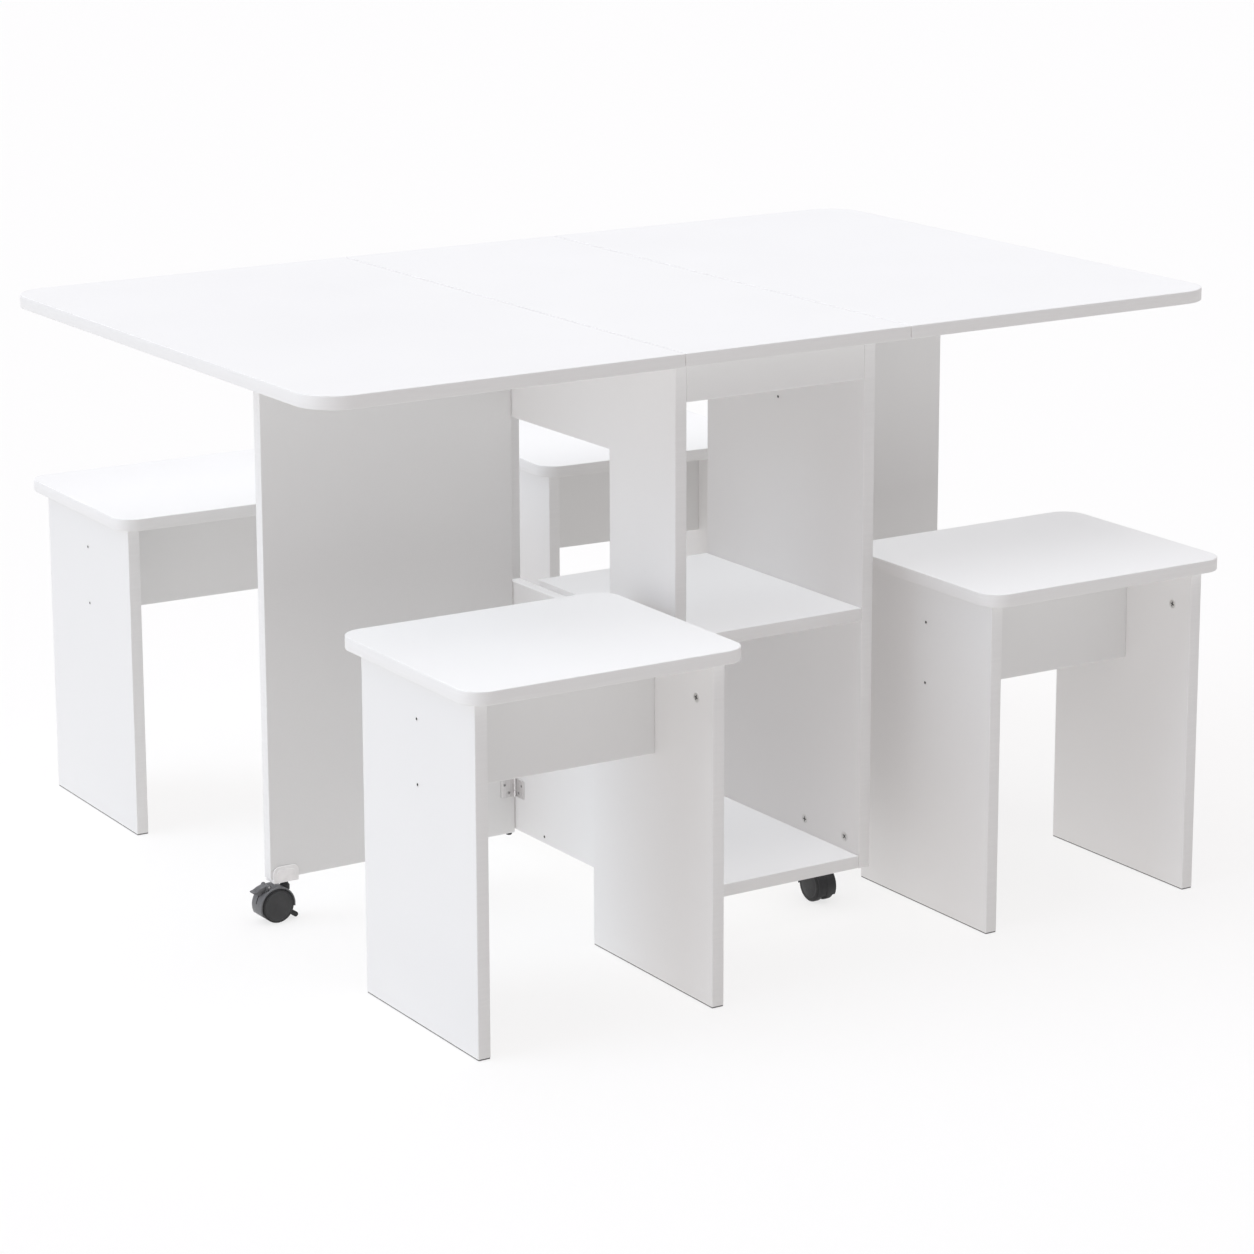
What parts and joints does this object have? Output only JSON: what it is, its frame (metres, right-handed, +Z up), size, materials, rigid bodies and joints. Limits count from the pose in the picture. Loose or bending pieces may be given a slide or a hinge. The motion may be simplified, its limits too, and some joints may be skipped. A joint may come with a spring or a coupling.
{
  "type": "folding dining set",
  "caption": "Drop-leaf table on a wheeled shelf cabinet, leaves held up by swing-out gates on casters, with small open-sided stools, all in white board.",
  "frame": {"origin": "middle of the whole set's bounding box, on the floor", "axes": "+X along the table's length, to the right seen from the front; +Y to the rear; +Z up"},
  "size_m": [1.292, 1.274, 0.75],
  "materials": {
    "white_board": "white melamine-faced particleboard with thin edge banding, satin",
    "stool_board": "white melamine-faced particleboard with thin edge banding, satin",
    "hinge_steel": "thin zinc-plated pressed steel",
    "saddle_plastic": "moulded off-white plastic, satin",
    "gate_caster_plastic": "moulded grey nylon, semi-gloss",
    "brake_plastic": "moulded grey nylon, semi-gloss",
    "gate_wheel_plastic": "dark grey nylon discs, satin",
    "caster_plastic": "black nylon, satin"
  },
  "bodies": {
    "cabinet": {"top_centre": "white_board", "side_panel_left": "white_board", "side_panel_right": "white_board", "apron_front": "white_board", "apron_rear": "white_board", "shelf": "white_board", "bottom_panel": "white_board", "gate_hinge_left_low_fixed": "hinge_steel", "gate_hinge_left_high_fixed": "hinge_steel", "leaf_hinge_left_front_fixed": "hinge_steel", "leaf_hinge_left_rear_fixed": "hinge_steel", "gate_hinge_right_low_fixed": "hinge_steel", "gate_hinge_right_high_fixed": "hinge_steel", "leaf_hinge_right_front_fixed": "hinge_steel", "leaf_hinge_right_rear_fixed": "hinge_steel"},
    "leaf_left": {"leaf_left": "white_board", "leaf_hinge_left_front_moving": "hinge_steel", "leaf_hinge_left_rear_moving": "hinge_steel"},
    "leaf_right": {"leaf_right": "white_board", "leaf_hinge_right_front_moving": "hinge_steel", "leaf_hinge_right_rear_moving": "hinge_steel"},
    "gate_left": {"gate_left": "white_board", "gate_caster_saddle_left": "saddle_plastic", "gate_hinge_left_low_moving": "hinge_steel", "gate_hinge_left_high_moving": "hinge_steel"},
    "gate_caster_left": {"gate_caster_fork_left": "gate_caster_plastic"},
    "gate_wheels_left": {"gate_caster_wheels_left": "gate_wheel_plastic"},
    "gate_brake_left": {"gate_caster_brake_left": "brake_plastic"},
    "gate_right": {"gate_right": "white_board", "gate_caster_saddle_right": "saddle_plastic", "gate_hinge_right_low_moving": "hinge_steel", "gate_hinge_right_high_moving": "hinge_steel"},
    "gate_caster_right": {"gate_caster_fork_right": "gate_caster_plastic"},
    "gate_wheels_right": {"gate_caster_wheels_right": "gate_wheel_plastic"},
    "gate_brake_right": {"gate_caster_brake_right": "brake_plastic"},
    "caster_front_left": {"caster_fork_front_left": "caster_plastic"},
    "wheels_front_left": {"caster_wheels_front_left": "caster_plastic"},
    "caster_front_right": {"caster_fork_front_right": "caster_plastic"},
    "wheels_front_right": {"caster_wheels_front_right": "caster_plastic"},
    "caster_rear_left": {"caster_fork_rear_left": "caster_plastic"},
    "wheels_rear_left": {"caster_wheels_rear_left": "caster_plastic"},
    "caster_rear_right": {"caster_fork_rear_right": "caster_plastic"},
    "wheels_rear_right": {"caster_wheels_rear_right": "caster_plastic"},
    "stool_front_left": {"stool_front_left_seat": "stool_board", "stool_front_left_leg_a": "stool_board", "stool_front_left_leg_b": "stool_board", "stool_front_left_apron": "stool_board"},
    "stool_rear_left": {"stool_rear_left_seat": "stool_board", "stool_rear_left_leg_a": "stool_board", "stool_rear_left_leg_b": "stool_board", "stool_rear_left_apron": "stool_board"},
    "stool_front_right": {"stool_front_right_seat": "stool_board", "stool_front_right_leg_a": "stool_board", "stool_front_right_leg_b": "stool_board", "stool_front_right_apron": "stool_board"},
    "stool_rear_right": {"stool_rear_right_seat": "stool_board", "stool_rear_right_leg_a": "stool_board", "stool_rear_right_leg_b": "stool_board", "stool_rear_right_apron": "stool_board"}
  },
  "joints": [
    {"name": "gate_left_swing", "type": "hinge", "parent": "cabinet", "child": "gate_left", "pos_m": [-0.1472, -0.06352, 0.388], "axis": [0, 0, 1], "range_deg": [0, 90]},
    {"name": "gate_right_swing", "type": "hinge", "parent": "cabinet", "child": "gate_right", "pos_m": [0.1472, -0.08112, 0.388], "axis": [0, 0, 1], "range_deg": [0, 90]},
    {"name": "leaf_left_lift", "type": "hinge", "parent": "cabinet", "child": "leaf_left", "pos_m": [-0.1625, -0.07232, 0.7314], "axis": [0, 1, 0], "range_deg": [0, 3.5]},
    {"name": "leaf_right_lift", "type": "hinge", "parent": "cabinet", "child": "leaf_right", "pos_m": [0.1625, -0.07232, 0.7314], "axis": [0, -1, 0], "range_deg": [0, 3.5]},
    {"name": "gate_caster_left_swivel", "type": "hinge", "parent": "gate_left", "child": "gate_caster_left", "pos_m": [-0.476, -0.05332, 0.04], "axis": [0, 0, 1], "continuous": true},
    {"name": "gate_wheels_left_spin", "type": "hinge", "parent": "gate_caster_left", "child": "gate_wheels_left", "pos_m": [-0.4916, -0.05332, 0.0215], "axis": [0, 1, 0], "continuous": true},
    {"name": "gate_brake_left_lift", "type": "hinge", "parent": "gate_caster_left", "child": "gate_brake_left", "pos_m": [-0.50168, -0.05332, 0.04644], "axis": [0, 1, 0], "range_deg": [0, 14]},
    {"name": "gate_caster_right_swivel", "type": "hinge", "parent": "gate_right", "child": "gate_caster_right", "pos_m": [0.476, -0.09132, 0.04], "axis": [0, 0, 1], "continuous": true},
    {"name": "gate_wheels_right_spin", "type": "hinge", "parent": "gate_caster_right", "child": "gate_wheels_right", "pos_m": [0.4916, -0.09132, 0.0215], "axis": [0, 1, 0], "continuous": true},
    {"name": "gate_brake_right_lift", "type": "hinge", "parent": "gate_caster_right", "child": "gate_brake_right", "pos_m": [0.50168, -0.09132, 0.04644], "axis": [0, -1, 0], "range_deg": [0, 14]},
    {"name": "caster_front_left_swivel", "type": "hinge", "parent": "cabinet", "child": "caster_front_left", "pos_m": [-0.118, -0.34432, 0.05], "axis": [0, 0, 1], "continuous": true},
    {"name": "wheels_front_left_spin", "type": "hinge", "parent": "caster_front_left", "child": "wheels_front_left", "pos_m": [-0.118, -0.35992, 0.0215], "axis": [1, 0, 0], "continuous": true},
    {"name": "caster_front_right_swivel", "type": "hinge", "parent": "cabinet", "child": "caster_front_right", "pos_m": [0.118, -0.34432, 0.05], "axis": [0, 0, 1], "continuous": true},
    {"name": "wheels_front_right_spin", "type": "hinge", "parent": "caster_front_right", "child": "wheels_front_right", "pos_m": [0.118, -0.35992, 0.0215], "axis": [1, 0, 0], "continuous": true},
    {"name": "caster_rear_left_swivel", "type": "hinge", "parent": "cabinet", "child": "caster_rear_left", "pos_m": [-0.118, 0.19968, 0.05], "axis": [0, 0, 1], "continuous": true},
    {"name": "wheels_rear_left_spin", "type": "hinge", "parent": "caster_rear_left", "child": "wheels_rear_left", "pos_m": [-0.118, 0.21528, 0.0215], "axis": [1, 0, 0], "continuous": true},
    {"name": "caster_rear_right_swivel", "type": "hinge", "parent": "cabinet", "child": "caster_rear_right", "pos_m": [0.118, 0.19968, 0.05], "axis": [0, 0, 1], "continuous": true},
    {"name": "wheels_rear_right_spin", "type": "hinge", "parent": "caster_rear_right", "child": "wheels_rear_right", "pos_m": [0.118, 0.21528, 0.0215], "axis": [1, 0, 0], "continuous": true},
    {"name": "stool_front_left_slide", "type": "slide", "parent": "cabinet", "child": "stool_front_left", "axis": [0, -1, 0], "range_m": [0, 0.15]},
    {"name": "stool_rear_right_slide", "type": "slide", "parent": "cabinet", "child": "stool_rear_right", "axis": [0, 1, 0], "range_m": [0, 0.3]},
    {"name": "stool_rear_left_slide", "type": "slide", "parent": "cabinet", "child": "stool_rear_left", "axis": [0, 1, 0], "range_m": [0, 0.3]},
    {"name": "stool_front_right_slide", "type": "slide", "parent": "cabinet", "child": "stool_front_right", "axis": [0, -1, 0], "range_m": [0, 0.3]}
  ],
  "couplings": [
    {"joint": "stool_front_left_slide", "follows": "gate_left_swing", "m_per_rad": 0.095}
  ]
}
